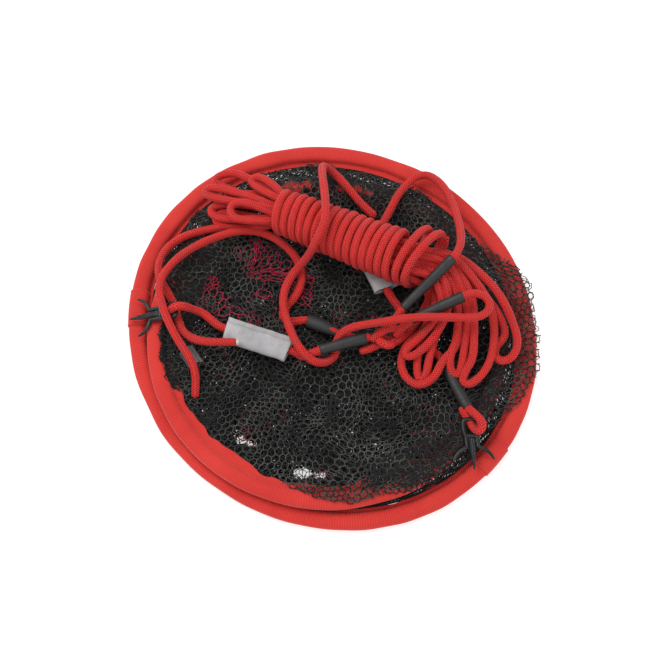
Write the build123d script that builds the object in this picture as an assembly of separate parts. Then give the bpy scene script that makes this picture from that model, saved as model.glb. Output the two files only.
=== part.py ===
from build123d import *
import math
import os

# Folding crab trap, folded flat: two sprung hoops in fabric sleeves, the net between them, and its line.
# Millimetres, +Z up. The origin is under the middle of the large hoop, on the surface that it lies on.

# Hoop tubes: a spring wire in a flattened fabric sleeve
SLEEVE_WIDTH = 12.0
SLEEVE_HEIGHT = 8.0
SLEEVE_CORNER = 3.4
WIRE_RADIUS = 2.5
WIRE_PLAY = 0.1
WIRE_GAP_DEG = 0.4
FERRULE_RADIUS = 3.3
FERRULE_SPAN_DEG = 8.0
FLAP_THICK = 1.4
FLAP_Z = 2.0

# Large hoop: an oval of four tangent arcs, its long axis from the back left to the front right
LARGE_END_RADIUS = 130.0
LARGE_SIDE_RADIUS = 154.0
LARGE_END_OFFSET = 17.9
LARGE_SIDE_OFFSET = 16.0
LARGE_AXIS_DEG = 130.8
LARGE_FLAP = 4.5

# Small hoop: a circle that leans on the large hoop at the front left and lies inside it at the back right
SMALL_CENTRE = (-3.7, -7.4)
SMALL_RADIUS = 124.0
SMALL_FLAP = 5.5
SMALL_HIGH_SIDE_DEG = -125.0
SMALL_LEAN_DEG = 1.95
SMALL_LOW_Z = 0.8

# Wrapped patches on the large hoop, at the clips
PATCH_THICK = 0.7
PATCH_SPAN_DEG = 10.5
PATCH_LOW_Z = 3.2
PATCH_ANGLES = {"left": 177.5, "right": -39.6}

# Net
NET_RADIUS = 110.5
FLOOR_NET_Z = (0.6, 2.0)
SLACK_NET_Z = (6.8, 12.0)
POUCH_CENTRE = (-30.0, 18.0)
POUCH_HALF = (68.0, 46.0)
POUCH_Z = (2.3, 6.5)
WALL_Z = (3.2, 6.8)
WALL_CLEARANCE = 0.9
WALL_TIP_CUT = 36.0
WALL_BAND = 40.0

# Line
CORD_RADIUS = 3.0
BORE_PLAY = 0.15
ARC_SHARE = 0.45

# Hank of the hauling line
HANK_CENTRE = (11.5, 60.5)
HANK_LENGTH = 115.0
HANK_TURN_DEG = -22.9
HANK_HALF = (20.0, 16.5)
HANK_BOTTOM = 19.6
BIGHT_Z = (16.2, 33.0)
FAN_Z = (20.2, 31.0)
KNOT_RADIUS = 8.0
KNOT_CENTRE = (36.0, -13.0, 20.4)

# Clips: each one's place, the way that it points in plan, and how far its eye end leans up
CLIP_PLACES = {"left": ((-143.5, 6.2, 16.6), 184.0, 20.0), "right": ((99.1, -105.0, 15.4), -86.0, 6.0)}
CLIP_SLOPE_DEG = 20.0
CLIP_THICK = 3.0
CLIP_REST_X = -14.5
BOW_RADIUS = 15.5
BOW_WIDTH = 2.4
BOW_HALF_ANGLE = 69.0
BOW_BACK_X = -13.0
HINGE_X = -17.6
FINGER_LENGTH = 21.8
FINGER_ROOT = 4.6
FINGER_MID = 3.4
FINGER_TIP = 0.9
FINGER_ROOM = 0.3
EAR_WIDTH = 1.9
PIN_RADIUS = 0.7
PIN_LENGTH = 9.6
PIN_PLAY = 0.08
EYE_WIDTH = 12.4
EYE_LENGTH = 13.6
EYE_SLOT = (8.2, 7.6)

# Routes of the free cords, point by point along their axes
LEG_1_ROUTE = [
    (-116.9, 8.1, 22.5), (-114.5, 8.4, 29.5), (-108, 9.8, 29), (-101, 10, 22), (-94, 9, 18),
    (-87.5, 3.5, 17.6), (-81, -2.6, 17.5), (-26.5, -21.15, 17.5), (-20.5, -25.5, 15.6),
    (-12, -23.2, 25), (28, -12.5, 25),
]
LEG_2_ROUTE = [
    (41, -6, 25.5), (47, 3, 31.6), (88, 41.3, 46.7), (93, 56, 42), (89.5, 88, 28), (81, 112, 20.5),
    (66.5, 123, 16), (50, 108, 15.6), (40, 86, 15.6), (29, 66, 15.7), (27.5, 53, 15.8), (42, 22, 15.8),
    (49.5, 12, 15.6), (51.5, 0, 15.6), (60, -13, 15.6), (69.5, -18.5, 15.8), (77, -24, 16),
    (95.3, -63.5, 17.4), (97.2, -66.6, 19.2), (101, -71.6, 27), (97.6, -77.2, 27.4), (97.2, -77.3, 18.6),
]
LEG_3_ROUTE = [
    (30, -10.5, 16), (20, -10.5, 16), (11, -9.7, 16), (-22.5, 6.5, 16), (-29.5, 16, 15.6),
    (-27, 28, 15.8), (-24.5, 38, 16), (-31, 49, 17), (-40, 61, 18.5), (-50, 69, 19.5), (-69, 71.5, 22.5),
    (-92.5, 64, 22.5), (-113.5, 49, 25), (-124, 27.5, 28), (-120.5, 6, 31), (-113, -12, 22.5),
    (-99, -38.7, 22.5), (-96.5, -50, 17), (-97.5, -61, 15.3),
]
LEG_4_ROUTE = [
    (44, -12, 22.5), (51.5, -4.5, 31.5), (93, 10, 45.5), (101, 10, 45), (107, 5, 44.5), (106, -2, 43.5),
    (98, -5, 42.5), (84, -4, 41.5), (58, -4, 41.5), (33.5, -6.5, 37), (10.5, -7, 28.5), (2, -14, 19.5),
    (3, -22, 15.6), (-4, -30, 17), (-15, -31.5, 23.5), (-25.5, -20, 28.5), (-31, -5, 24), (-36, 12.5, 20),
    (-36.8, 26, 20), (-31.5, 37, 22.5), (-23.5, 42.5, 26), (-17, 45.5, 37), (-12.5, 49, 51),
    (-5.5, 61, 59), (-4.8, 75, 58.5), (-6, 92, 52), (-7.5, 108, 42.5), (-7.7, 119, 32), (-6, 125.5, 21),
    (1, 122.5, 16),
    (10, 112, 15.6), (23.5, 93.5, 15.6), (32, 86, 15.6),
]
TAIL_ROUTE = [
    (-46, 75, 17), (-64.5, 78.5, 15.8), (-86.5, 77, 15.8), (-108, 71, 16.5), (-121, 61, 17.5),
    (-126.5, 48, 18.8), (-126, 36, 19.8), (-120, 26, 18.5), (-114, 16, 15.5), (-111.5, 4.5, 15.2),
    (-107, -7.5, 18.5), (-96, -15.5, 23.5), (-81.5, -17, 25), (-67.5, -17, 25.4),
]
LEAD_ROUTE = [(42.8, -15.8, 20.8), (47.5, -17, 21.6), (51.5, -19.5, 23.2)]

# Heat-shrink tubes: outer radius, and the stretch of the leg that each covers
SPLICES = {
    "leg_1_knot_splice": (4.1, (-8.5, -22.26, 25), (24.5, -13.44, 25)),
    "leg_2_knot_splice": (3.5, (51.5, 7.2, 33.26), (83, 36.63, 44.86)),
    "leg_3_knot_splice": (3.9, (7, -7.77, 16), (-18, 4.32, 16)),
    "leg_4_knot_splice": (3.5, (57.5, -2.4, 33.52), (89, 8.6, 44.15)),
    "leg_2_clip_splice": (3.6, (79.05, -28.43, 16.157), (94.4, -61.56, 17.331)),
}

# Folded tag sleeves: middle, turn about Z, length, and half width
TAGS = {
    "leg_1_tag_sleeve": ((-53.75, -11.875, 17.5), -18.79, 47.0, 9.6),
    "leg_2_tag_sleeve": ((34.7, 37.6, 15.8), -64.9, 21.0, 9.0),
    "leg_3_tag_sleeve": ((-105.3, -26.7, 22.5), -62.3, 14.0, 5.2),
}
TAG_HALF_THICK = 3.7


def ring_piece(section, centre, radius, start_deg, span_deg):
    """Revolve a section, drawn with X outwards and Y up, around a vertical axis."""
    plane = Plane(origin=(radius, 0, 0), x_dir=(1, 0, 0), z_dir=(0, -1, 0))
    piece = revolve(plane * section, axis=Axis.Z, revolution_arc=span_deg)
    return Pos(centre[0], centre[1], 0) * Rot(0, 0, start_deg) * piece


def large_arcs():
    """The large hoop's four arcs, each as its centre, radius, start angle and span."""
    half_end = math.degrees(math.atan2(LARGE_SIDE_OFFSET, LARGE_END_OFFSET))
    half_side = 90 - half_end
    turn = math.radians(LARGE_AXIS_DEG)
    along = (math.cos(turn), math.sin(turn))
    across = (-along[1], along[0])
    arcs = []
    for side in (1, -1):
        centre = (side * LARGE_END_OFFSET * along[0], side * LARGE_END_OFFSET * along[1])
        middle = LARGE_AXIS_DEG + (0 if side == 1 else 180)
        arcs.append((centre, LARGE_END_RADIUS, middle - half_end, 2 * half_end))
        centre = (-side * LARGE_SIDE_OFFSET * across[0], -side * LARGE_SIDE_OFFSET * across[1])
        arcs.append((centre, LARGE_SIDE_RADIUS, middle + half_end, 2 * half_side))
    return arcs


def large_ring(section):
    """The whole oval ring of one section."""
    ring = Part()
    for centre, radius, start, span in large_arcs():
        ring += ring_piece(section, centre, radius, start, span)
    return ring


def large_stretch(section, middle_deg, span_deg):
    """A short stretch of the oval ring around a direction from the origin."""
    best = None
    for centre, radius, start, span in large_arcs():
        way = math.radians(middle_deg)
        along = centre[0] * math.cos(way) + centre[1] * math.sin(way)
        gap = centre[0] ** 2 + centre[1] ** 2
        reach = along + math.sqrt(along ** 2 - gap + radius ** 2)
        point = (reach * math.cos(way), reach * math.sin(way))
        angle = math.degrees(math.atan2(point[1] - centre[1], point[0] - centre[0]))
        inside = min(math.fmod(angle - start + 720, 360), span)
        room = min(inside, span - inside)
        if best is None or room > best[0]:
            best = (room, centre, radius, angle)
    return ring_piece(section, best[1], best[2], best[3] - span_deg / 2, span_deg)


def lean(shape):
    """Lay a flat small-hoop shape on its lean, low at the back right."""
    high = math.radians(SMALL_HIGH_SIDE_DEG)
    hinge = Axis((0, 0, 0), (-math.sin(high), math.cos(high), 0))
    rise = (SMALL_RADIUS + SLEEVE_WIDTH / 2) * math.sin(math.radians(SMALL_LEAN_DEG))
    tilted = shape.rotate(hinge, -SMALL_LEAN_DEG)
    return Pos(SMALL_CENTRE[0], SMALL_CENTRE[1], SMALL_LOW_Z + rise) * tilted


def sleeve_section(flap):
    """A flattened tube around the wire, with the sewn seam flap on its inner side."""
    middle = Pos(0, SLEEVE_HEIGHT / 2)
    outside = middle * RectangleRounded(SLEEVE_WIDTH, SLEEVE_HEIGHT, SLEEVE_CORNER)
    reach = SLEEVE_WIDTH / 2 + flap
    seam = Pos(-reach / 2 - 1, FLAP_Z) * Rectangle(reach - 2, FLAP_THICK)
    return outside + seam - middle * Circle(WIRE_RADIUS + WIRE_PLAY)


def wire_section():
    return Pos(0, SLEEVE_HEIGHT / 2) * Circle(WIRE_RADIUS)


def ferrule_section(play=0.0):
    return Pos(0, SLEEVE_HEIGHT / 2) * Circle(FERRULE_RADIUS + play)


def patch_section():
    """A saddle over the top and sides of the sleeve, open at the surface it rests on."""
    middle = Pos(0, SLEEVE_HEIGHT / 2)
    grow = 2 * PATCH_THICK
    outside = middle * RectangleRounded(
        SLEEVE_WIDTH + grow, SLEEVE_HEIGHT + grow, SLEEVE_CORNER + PATCH_THICK
    )
    inside = middle * RectangleRounded(SLEEVE_WIDTH, SLEEVE_HEIGHT, SLEEVE_CORNER)
    below = Pos(0, PATCH_LOW_Z - SLEEVE_HEIGHT / 2) * Rectangle(2 * SLEEVE_WIDTH, SLEEVE_HEIGHT)
    return outside - inside - below


def make_large_hoop():
    centre, radius, start, span = large_arcs()[0]
    sleeve = large_ring(sleeve_section(LARGE_FLAP))
    pocket_start = start - FERRULE_SPAN_DEG / 2 + span / 2
    sleeve -= ring_piece(
        ferrule_section(WIRE_PLAY), centre, radius, pocket_start - 0.2, FERRULE_SPAN_DEG + 0.4
    )
    wire = large_ring(wire_section())
    cut = Rectangle(4 * WIRE_RADIUS, 6 * WIRE_RADIUS)
    middle = start + span / 2
    wire -= ring_piece(cut, centre, radius, middle - WIRE_GAP_DEG / 2, WIRE_GAP_DEG)
    ferrule = ring_piece(ferrule_section() - wire_section(), centre, radius, pocket_start, FERRULE_SPAN_DEG)
    patches = [large_stretch(patch_section(), angle, PATCH_SPAN_DEG) for angle in PATCH_ANGLES.values()]
    return {
        "large_hoop_sleeve": sleeve,
        "large_hoop_wire": wire,
        "large_hoop_ferrule": ferrule,
        "large_hoop_patches": Compound(children=patches),
    }


def make_small_hoop():
    origin = (0, 0)
    sleeve = ring_piece(sleeve_section(SMALL_FLAP), origin, SMALL_RADIUS, 0, 360)
    sleeve -= ring_piece(
        ferrule_section(WIRE_PLAY), origin, SMALL_RADIUS, -0.2, FERRULE_SPAN_DEG + 0.4
    )
    gap_start = FERRULE_SPAN_DEG / 2
    wire = ring_piece(wire_section(), origin, SMALL_RADIUS, gap_start, 360 - WIRE_GAP_DEG)
    ferrule = ring_piece(ferrule_section() - wire_section(), origin, SMALL_RADIUS, 0, FERRULE_SPAN_DEG)
    return {
        "small_hoop_sleeve": lean(sleeve),
        "small_hoop_wire": lean(wire),
        "small_hoop_ferrule": lean(ferrule),
    }


def disc(centre, sketch, z_range):
    """A flat closed solid between two heights."""
    return Pos(centre[0], centre[1], z_range[0]) * extrude(sketch, z_range[1] - z_range[0])


def make_nets():
    floor_net = disc(SMALL_CENTRE, Circle(NET_RADIUS), FLOOR_NET_Z)
    slack = disc(SMALL_CENTRE, Circle(NET_RADIUS), SLACK_NET_Z)
    rim = slack.edges().group_by(Axis.Z)[-1]
    slack = fillet(rim, (SLACK_NET_Z[1] - SLACK_NET_Z[0]) * 0.6)
    pouch = disc(POUCH_CENTRE, Ellipse(*POUCH_HALF), POUCH_Z)
    pouch = fillet(pouch.edges(), (POUCH_Z[1] - POUCH_Z[0]) * 0.3)
    return {"floor_net": floor_net, "wall_slack_net": slack, "bait_pouch": pouch}


def make_wall_net():
    """The stretch of wall net that shows between the hoops, a crescent at the back right."""
    height = WALL_Z[1] - WALL_Z[0]
    inner_edge = SLEEVE_WIDTH / 2 + WALL_CLEARANCE
    inside = Part()
    for centre, radius, start, span in large_arcs():
        band = Rectangle(WALL_BAND, height)
        band = Pos(-inner_edge - WALL_BAND / 2, height / 2) * band
        inside += ring_piece(band, centre, radius, start, span)
    hole = extrude(Circle(SMALL_RADIUS + inner_edge), height)
    inside -= Pos(SMALL_CENTRE[0], SMALL_CENTRE[1], 0) * hole
    high = math.radians(SMALL_HIGH_SIDE_DEG)
    reach = 4 * SMALL_RADIUS
    back = Box(reach, reach, reach)
    shift = reach / 2 + WALL_TIP_CUT
    keep = Pos(-shift * math.cos(high), -shift * math.sin(high), 0) * Rot(0, 0, SMALL_HIGH_SIDE_DEG) * back
    return {"wall_net": Pos(0, 0, WALL_Z[0]) * (inside & keep)}


def clip_plane(place):
    """Where a clip lies: leaning over the large hoop, its eye end higher."""
    centre, out_deg, lean_deg = place
    return Pos(*centre) * Rot(0, 0, out_deg) * Pos(CLIP_REST_X, 0, 0) * Rot(0, lean_deg, 0)


def clip_x(local):
    """A level length from the resting point, counted along the sloping clip."""
    return (local - CLIP_REST_X) / math.cos(math.radians(CLIP_SLOPE_DEG))


def clip_body():
    """Eye, cross bar, hinge ears and the two curved outer fingers, flat on its own plane."""
    back = clip_x(BOW_BACK_X)
    centre = back + BOW_RADIUS
    span = 2 * BOW_HALF_ANGLE
    bow = Rectangle(BOW_WIDTH, CLIP_THICK)
    plane = Plane(origin=(BOW_RADIUS, 0, CLIP_THICK / 2), x_dir=(1, 0, 0), z_dir=(0, -1, 0))
    bow = revolve(plane * bow, axis=Axis.Z, revolution_arc=span)
    bow = Pos(centre, 0, 0) * Rot(0, 0, 180 - BOW_HALF_ANGLE) * bow
    hinge = clip_x(HINGE_X)
    eye_end = hinge - 2.6
    lane = FINGER_ROOT + 2 * FINGER_ROOM
    body = bow - Box(BOW_RADIUS, lane, 3 * CLIP_THICK)
    ear_length = back - eye_end + 2.5
    ear = Box(ear_length, EAR_WIDTH, CLIP_THICK, align=(Align.MAX, Align.CENTER, Align.MIN))
    for side in (-1, 1):
        body += Pos(back + 1.0, side * (lane + EAR_WIDTH) / 2, 0) * ear
    eye = Box(EYE_LENGTH, EYE_WIDTH, CLIP_THICK, align=(Align.MAX, Align.CENTER, Align.MIN))
    eye = fillet(eye.edges().filter_by(Axis.Z), 3.2)
    slot = Box(EYE_SLOT[0], EYE_SLOT[1], 3 * CLIP_THICK)
    body += Pos(eye_end, 0, 0) * eye
    body -= Pos(eye_end - EYE_LENGTH / 2 - 0.6, 0, 0) * slot
    body -= Pos(hinge, 0, CLIP_THICK / 2) * Rot(90, 0, 0) * Cylinder(PIN_RADIUS + PIN_PLAY, 3 * EYE_WIDTH)
    return body


def clip_finger():
    """The ribbed middle finger, tapering to a point, with its hinge bore at the root."""
    root, middle, tip = FINGER_ROOT / 2, FINGER_MID / 2, FINGER_TIP / 2
    outline = [
        (-1.6, -root), (8.0, -root + 0.2), (15.5, -middle), (FINGER_LENGTH, -tip),
        (FINGER_LENGTH, tip), (15.5, middle), (8.0, root - 0.2), (-1.6, root),
    ]
    finger = extrude(make_face(Polyline(*outline, close=True)), CLIP_THICK - 0.4)
    finger = Pos(0, 0, 0.2) * finger
    for side in (-1, 1):
        groove = Box(11.5, 0.6, 0.8)
        finger -= Pos(8.5, side * 0.85, CLIP_THICK - 0.2) * groove
    finger -= Pos(0, 0, CLIP_THICK / 2) * Rot(90, 0, 0) * Cylinder(PIN_RADIUS + PIN_PLAY, 3 * EYE_WIDTH)
    return finger


def make_clips():
    pieces = {}
    hinge = clip_x(HINGE_X)
    for side, place in CLIP_PLACES.items():
        plane = clip_plane(place)
        pin = Rot(90, 0, 0) * Cylinder(PIN_RADIUS, PIN_LENGTH)
        pieces[side + "_clip_body"] = plane * clip_body()
        pieces[side + "_clip_pin"] = plane * Pos(hinge, 0, CLIP_THICK / 2) * pin
        pieces[side + "_clip_finger"] = plane * Pos(hinge, 0, 0) * clip_finger()
    return pieces


def corner_radii(route):
    """Each corner's arc is as large as its two runs allow."""
    points = [Vector(*point) for point in route]
    radii = []
    for before, corner, after in zip(points, points[1:], points[2:]):
        turn = (corner - before).get_angle(after - corner)
        shorter = min((corner - before).length, (after - corner).length)
        radii.append(ARC_SHARE * shorter / math.tan(math.radians(turn / 2)))
    return radii


def cord(name, route):
    """A tube of straight runs and tangent arcs along a route."""
    radii = corner_radii(route)
    path = FilletPolyline(*route, radius=radii)
    section = Plane(origin=path @ 0, z_dir=path % 0) * Circle(CORD_RADIUS)
    tube = sweep(section, path=path)
    expected = math.pi * CORD_RADIUS ** 2 * path.length
    print(name, "length", round(path.length, 1), "volume ratio", round(tube.volume / expected, 4))
    print("   radii", [round(radius, 1) for radius in radii])
    return tube


def splice(radius, start, end):
    """A heat-shrink tube over a straight stretch of cord."""
    a, b = Vector(*start), Vector(*end)
    plane = Plane(origin=a, z_dir=b - a)
    ring = Circle(radius) - Circle(CORD_RADIUS + BORE_PLAY)
    return extrude(plane * ring, (b - a).length)


def tag(middle, turn_deg, length, half_width):
    """A folded sleeve that the cord runs through."""
    plane = Plane(origin=(-length / 2, 0, 0), x_dir=(0, 1, 0), z_dir=(1, 0, 0))
    ring = Ellipse(half_width, TAG_HALF_THICK) - Circle(CORD_RADIUS + BORE_PLAY)
    return Pos(*middle) * Rot(0, 0, turn_deg) * extrude(plane * ring, length)


def outline_solid(points, z_range):
    """A closed solid over a plan outline with rounded corners."""
    face = make_face(Polyline(*points, close=True))
    face = fillet(face.vertices(), 5.0)
    return Pos(0, 0, z_range[0]) * extrude(face, z_range[1] - z_range[0])


def make_hank():
    """The hauling line's hank: the wrapped middle and the open bights at both ends."""
    centre_z = HANK_BOTTOM + HANK_HALF[1]
    plane = Plane(origin=(-HANK_LENGTH / 2, 0, 0), x_dir=(0, 1, 0), z_dir=(1, 0, 0))
    wraps = extrude(plane * Ellipse(*HANK_HALF), HANK_LENGTH)
    wraps = Pos(HANK_CENTRE[0], HANK_CENTRE[1], centre_z) * Rot(0, 0, HANK_TURN_DEG) * wraps
    left = outline_solid(
        [(-37, 80), (-28, 104), (-56, 121), (-80, 117), (-97, 107), (-94, 89), (-75, 87)], BIGHT_Z
    )
    right = outline_solid(
        [(75, 59), (96, 51), (116, 22), (131, -8), (128, -26), (80, -39), (52, -36), (50, -14), (63, 0), (65, 25)],
        FAN_Z,
    )
    left -= wraps
    right -= wraps
    return {"hank_wraps": wraps, "hank_left_bights": left, "hank_right_bights": right}


def make_line():
    routes = {
        "leg_1_cord": LEG_1_ROUTE,
        "leg_2_cord": LEG_2_ROUTE,
        "leg_3_cord": LEG_3_ROUTE,
        "leg_4_cord": LEG_4_ROUTE,
        "line_tail": TAIL_ROUTE,
        "line_lead": LEAD_ROUTE,
    }
    pieces = {name: cord(name, route) for name, route in routes.items()}
    for name, values in SPLICES.items():
        pieces[name] = splice(*values)
    for name, values in TAGS.items():
        pieces[name] = tag(*values)
    pieces["gather_knot"] = Pos(*KNOT_CENTRE) * Sphere(KNOT_RADIUS)
    return pieces


def main():
    os.makedirs("parts", exist_ok=True)
    pieces = {}
    pieces.update(make_large_hoop())
    pieces.update(make_small_hoop())
    pieces.update(make_nets())
    pieces.update(make_wall_net())
    pieces.update(make_clips())
    pieces.update(make_hank())
    pieces.update(make_line())
    for name, shape in pieces.items():
        shape.label = name
        export_step(shape, f"parts/{name}.step")


main()
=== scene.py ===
"""Looks of a folding crab trap, folded flat: hoops in fabric sleeves, crumpled net, clips and line.

Lengths in the tables are millimetres in the CAD's frame; every mesh is built in metres.
"""

import math

import bpy
import numpy as np
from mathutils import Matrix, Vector


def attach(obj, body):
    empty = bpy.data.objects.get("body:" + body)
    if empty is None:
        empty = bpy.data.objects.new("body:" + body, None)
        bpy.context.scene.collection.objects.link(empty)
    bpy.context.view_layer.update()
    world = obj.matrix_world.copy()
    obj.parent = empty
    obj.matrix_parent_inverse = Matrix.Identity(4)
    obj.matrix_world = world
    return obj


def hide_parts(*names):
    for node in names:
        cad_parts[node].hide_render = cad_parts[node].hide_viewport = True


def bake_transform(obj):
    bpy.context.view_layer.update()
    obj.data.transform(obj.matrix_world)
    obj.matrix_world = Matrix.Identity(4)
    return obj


MM = 0.001
WAVE_TERMS = 7
UP = np.array([0.0, 0.0, 1.0])

# Camera
CAMERA_AIM = (-1.78, -0.72, 8.0)
CAMERA_DISTANCE = 1400.0
CAMERA_ELEVATION_DEG = 68.0
CAMERA_LENS = 105.5

# Hoops
SLEEVE_HALF_WIDTH = 6.0
SLEEVE_HALF_HEIGHT = 4.0
SLEEVE_ROUND = 2.5
SLEEVE_ROWS = 1080
FLAP_HALF_THICK = 0.7
FLAP_DROP = 2.0
# A sleeve's half width with the net over it
COVERED_HALF_WIDTH = 7.2
LARGE_END_RADIUS = 130.0
LARGE_SIDE_RADIUS = 154.0
LARGE_END_OFFSET = 17.9
LARGE_SIDE_OFFSET = 16.0
LARGE_AXIS_DEG = 130.8
LARGE_FLAP = 6.0
PATCH_OUTSIDE = 0.8
PATCH_INSIDE = 0.15
SMALL_CENTRE = np.array([-3.7, -7.4])
SMALL_RADIUS = 124.0
SMALL_FLAP = 7.0
SMALL_HIGH_SIDE_DEG = -125.0
SMALL_LEAN_DEG = 1.95
SMALL_PLANE_Z = 9.22
PATCHES = {"left": (177.5, 10.5), "right": (-39.6, 10.5)}

# Lowest height over the ground of the sleeves, and of the patches and net strands
SLEEVE_CLEARANCE = 0.05
CLEARANCE = 0.02
STAGE_Z = -0.2

# Net: how far strands run past their knots, in radii; a flat layer's radius; and the knots' scatter, in cells
STRAND_LAP = 0.8
NET_REACH = 150.0
NET_JITTER = 0.03
# Directions over which the slack net stops lying on the small hoop, and on its seam flap
OVER_HOOP_END = (164, 174)
OVER_FLAP_END = (194, 212)
# The bait pouch: middle and half size in plan
POUCH_MIDDLE = (-58, 30)
POUCH_HALF = (46, 42)
NET_NODES = {"floor_layer": "floor_net", "slack_layer": "wall_slack_net", "pouch_layer": "bait_pouch"}
# Gaps in the deeper layers: x, y, and half the width
THIN_SPOTS = (
    (-42, 108, 6), (-30, 113, 8), (-19, 116, 4), (8, 113, 5), (16, 111, 7), (27, 108, 4),
    (-64, -84, 5), (-57, -87, 4), (-21, -108, 7), (-9, -110, 5), (118, 36, 4),
)
# Wall net: rows and pairs of columns of cells, strand radius, and lowest and highest points
WALL_ROWS = 17
WALL_COLUMNS = 150
WALL_STRAND = 0.62
WALL_LOW = 3.3
WALL_HIGH = (6.2, 9.0)

# Cords
CORD_RADIUS = 3.0
CORD_STEP = 1.4
UV_UNIT = 10.0

LEG_1 = [
    (-116.9, 8.1, 22.5), (-114.5, 8.4, 29.5), (-108, 9.8, 29), (-101, 10, 22), (-94, 9, 18),
    (-87.5, 3.5, 17.6), (-81, -2.6, 17.5), (-54, -11.8, 17.5), (-26.5, -21.15, 17.5),
    (-20.5, -25.5, 15.6), (-12, -23.2, 25), (28, -12.5, 25),
]
LEG_2 = [
    (41, -6, 25.5), (47, 3, 31.6), (68, 22.6, 39.3), (82, 35.7, 44.5), (89, 42.3, 47), (93.5, 57, 42),
    (89.5, 88, 28), (81, 112, 20.5), (66.5, 123, 16), (50, 108, 15.6), (40, 86, 15.6), (29, 66, 15.7),
    (27.5, 53, 15.8), (42, 22, 15.8),
    (49.5, 12, 15.6), (51.5, 0, 15.6), (60, -13, 15.6), (69.5, -18.5, 15.8), (77, -24, 16),
    (86, -43.4, 16.7), (95.3, -63.5, 17.6), (98.5, -68.5, 21.5), (103, -74, 25), (105.6, -79.5, 25.5),
    (102.8, -83.6, 22.5), (99.2, -79.5, 18), (97, -74, 16.2), (93.6, -68, 16.2), (91, -62, 16.6),
]
LEG_3 = [
    (30, -10.5, 16), (20, -10.5, 16), (11, -9.7, 16), (-3, -3, 16), (-18, 4.6, 15), (-25, 4, 13.5),
    (-33, 4.5, 12.2), (-37, 10, 12.2), (-33, 16.5, 13), (-26.5, 23, 15), (-22.3, 33, 17), (-22.8, 43, 17.5),
    (-27.5, 54, 18.5), (-38, 64.5, 19.5), (-52, 72, 20.5), (-69, 72.5, 22), (-92.5, 64, 22.5),
    (-113.5, 49, 25), (-126, 28.5, 28), (-121.5, 7, 29), (-112, -12, 22.5), (-100, -29.5, 20),
    (-97.5, -38.5, 16), (-97.5, -46, 12.5), (-98, -54, 9.5),
]
LEG_4 = [
    (44, -12, 22.5), (51.5, -4.5, 31.5), (72, 2.7, 38.4), (88, 8.3, 43.8), (95.5, 11, 46), (103, 12.5, 45.5),
    (111, 8, 44.8), (111, -0.5, 43.8), (103, -5.5, 42.6), (84, -4.5, 41.5), (58, -4, 41.5), (33.5, -6.5, 37),
    (10.5, -7, 28.5), (2, -14, 19.5), (3, -22, 15.6), (-4, -30, 17), (-15, -31.5, 23.5),
    (-25.5, -20, 28.5), (-31, -5, 24), (-36, 12.5, 20), (-35, 26, 20.5), (-29, 37, 22.5),
    (-23.5, 42.5, 26), (-17, 45.5, 37), (-12.5, 49, 51), (-5.5, 61, 59), (-4.8, 75, 58.5),
    (-6, 92, 52), (-7.5, 108, 42.5), (-7.7, 119, 32), (-6, 125.5, 21), (1, 122.5, 16), (10, 112, 15.6),
    (23.5, 93.5, 15.6), (32, 86, 15.6),
]
LINE_LEAD = [(40, -14, 20.6), (42.8, -15.8, 20.8), (48, -13, 19.5), (56, -6, 18.5), (64, 6, 21), (73, 22, 27)]
LINE_TAIL = [
    (-46, 75, 17), (-64.5, 78.5, 15.8), (-86.5, 77, 15.8), (-108, 71, 16.5), (-121, 61, 17.5),
    (-126.5, 48, 18.8), (-126, 36, 19.8), (-120, 26, 18.5), (-114, 16, 15.5), (-111.5, 4.5, 15.2),
    (-107, -7.5, 18.5), (-96, -15.5, 23.5), (-81.5, -17, 25), (-67.5, -17, 25.4),
]
KNOT = [
    (27, -15.5, 23.5), (34, -10, 28), (43, -6, 27), (50, -8, 22), (47, -14, 18), (38, -12, 16.5),
    (31, -9, 19), (33, -16, 25), (39, -20.5, 26.5), (44, -17, 22), (38, -13, 17.5), (30, -18, 19),
    (24, -21, 20), (19, -21.5, 18.5),
]

# Hank: the line goes to and fro through its core, and is then wound around it from right to left
HANK_CENTRE = np.array([11.5, 60.5, 36.1])
HANK_TURN_DEG = -22.9
HANK_CORE_END = 50.0
CORE_LEFT_SHARE = 0.76
CORE_SLOTS = [
    (-12.0, 0.0), (-9.0, 5.2), (-10.4, -5.2), (-5.2, -5.2), (-6.0, 0.0), (-3.0, 5.2), (0.0, -5.2),
    (0.0, 0.0), (3.0, 5.2), (5.2, -5.2), (6.0, 0.0), (9.0, 5.2), (10.4, -5.2), (12.0, 0.0),
]
LEFT_BIGHTS = [
    [(-41, 76, 29), (-64, 85, 21), (-81, 89, 18), (-87, 84, 17), (-82, 78, 17), (-68, 76, 18), (-43, 74, 27)],
    [(-40, 77, 38), (-56, 86, 36), (-69, 90, 34), (-75, 86, 32), (-73, 78, 32), (-64, 75, 33), (-42, 73, 36)],
    [(-42, 83, 29), (-60, 91, 25), (-79, 94, 22), (-89, 92, 20), (-89, 86, 20), (-81, 81, 22), (-43, 77, 32)],
    [(-40, 84, 37), (-64, 96, 32), (-87, 105, 28), (-94, 103, 26), (-92, 98, 26), (-76, 93, 29),
     (-41, 81, 40)],
    [(-39, 91, 33), (-56, 108, 28), (-71, 118, 25), (-83, 117, 23), (-88, 112, 22), (-80, 107, 22),
     (-41, 87, 30)],
    [(-36, 93, 39), (-44, 103, 36), (-53, 111, 32), (-60, 110, 30), (-57, 103, 31), (-38, 89, 40)],
    [(-38, 93, 34), (-58, 101, 23), (-74, 104, 19), (-80, 99, 18), (-70, 94, 19), (-41, 85, 34)],
]
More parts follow.
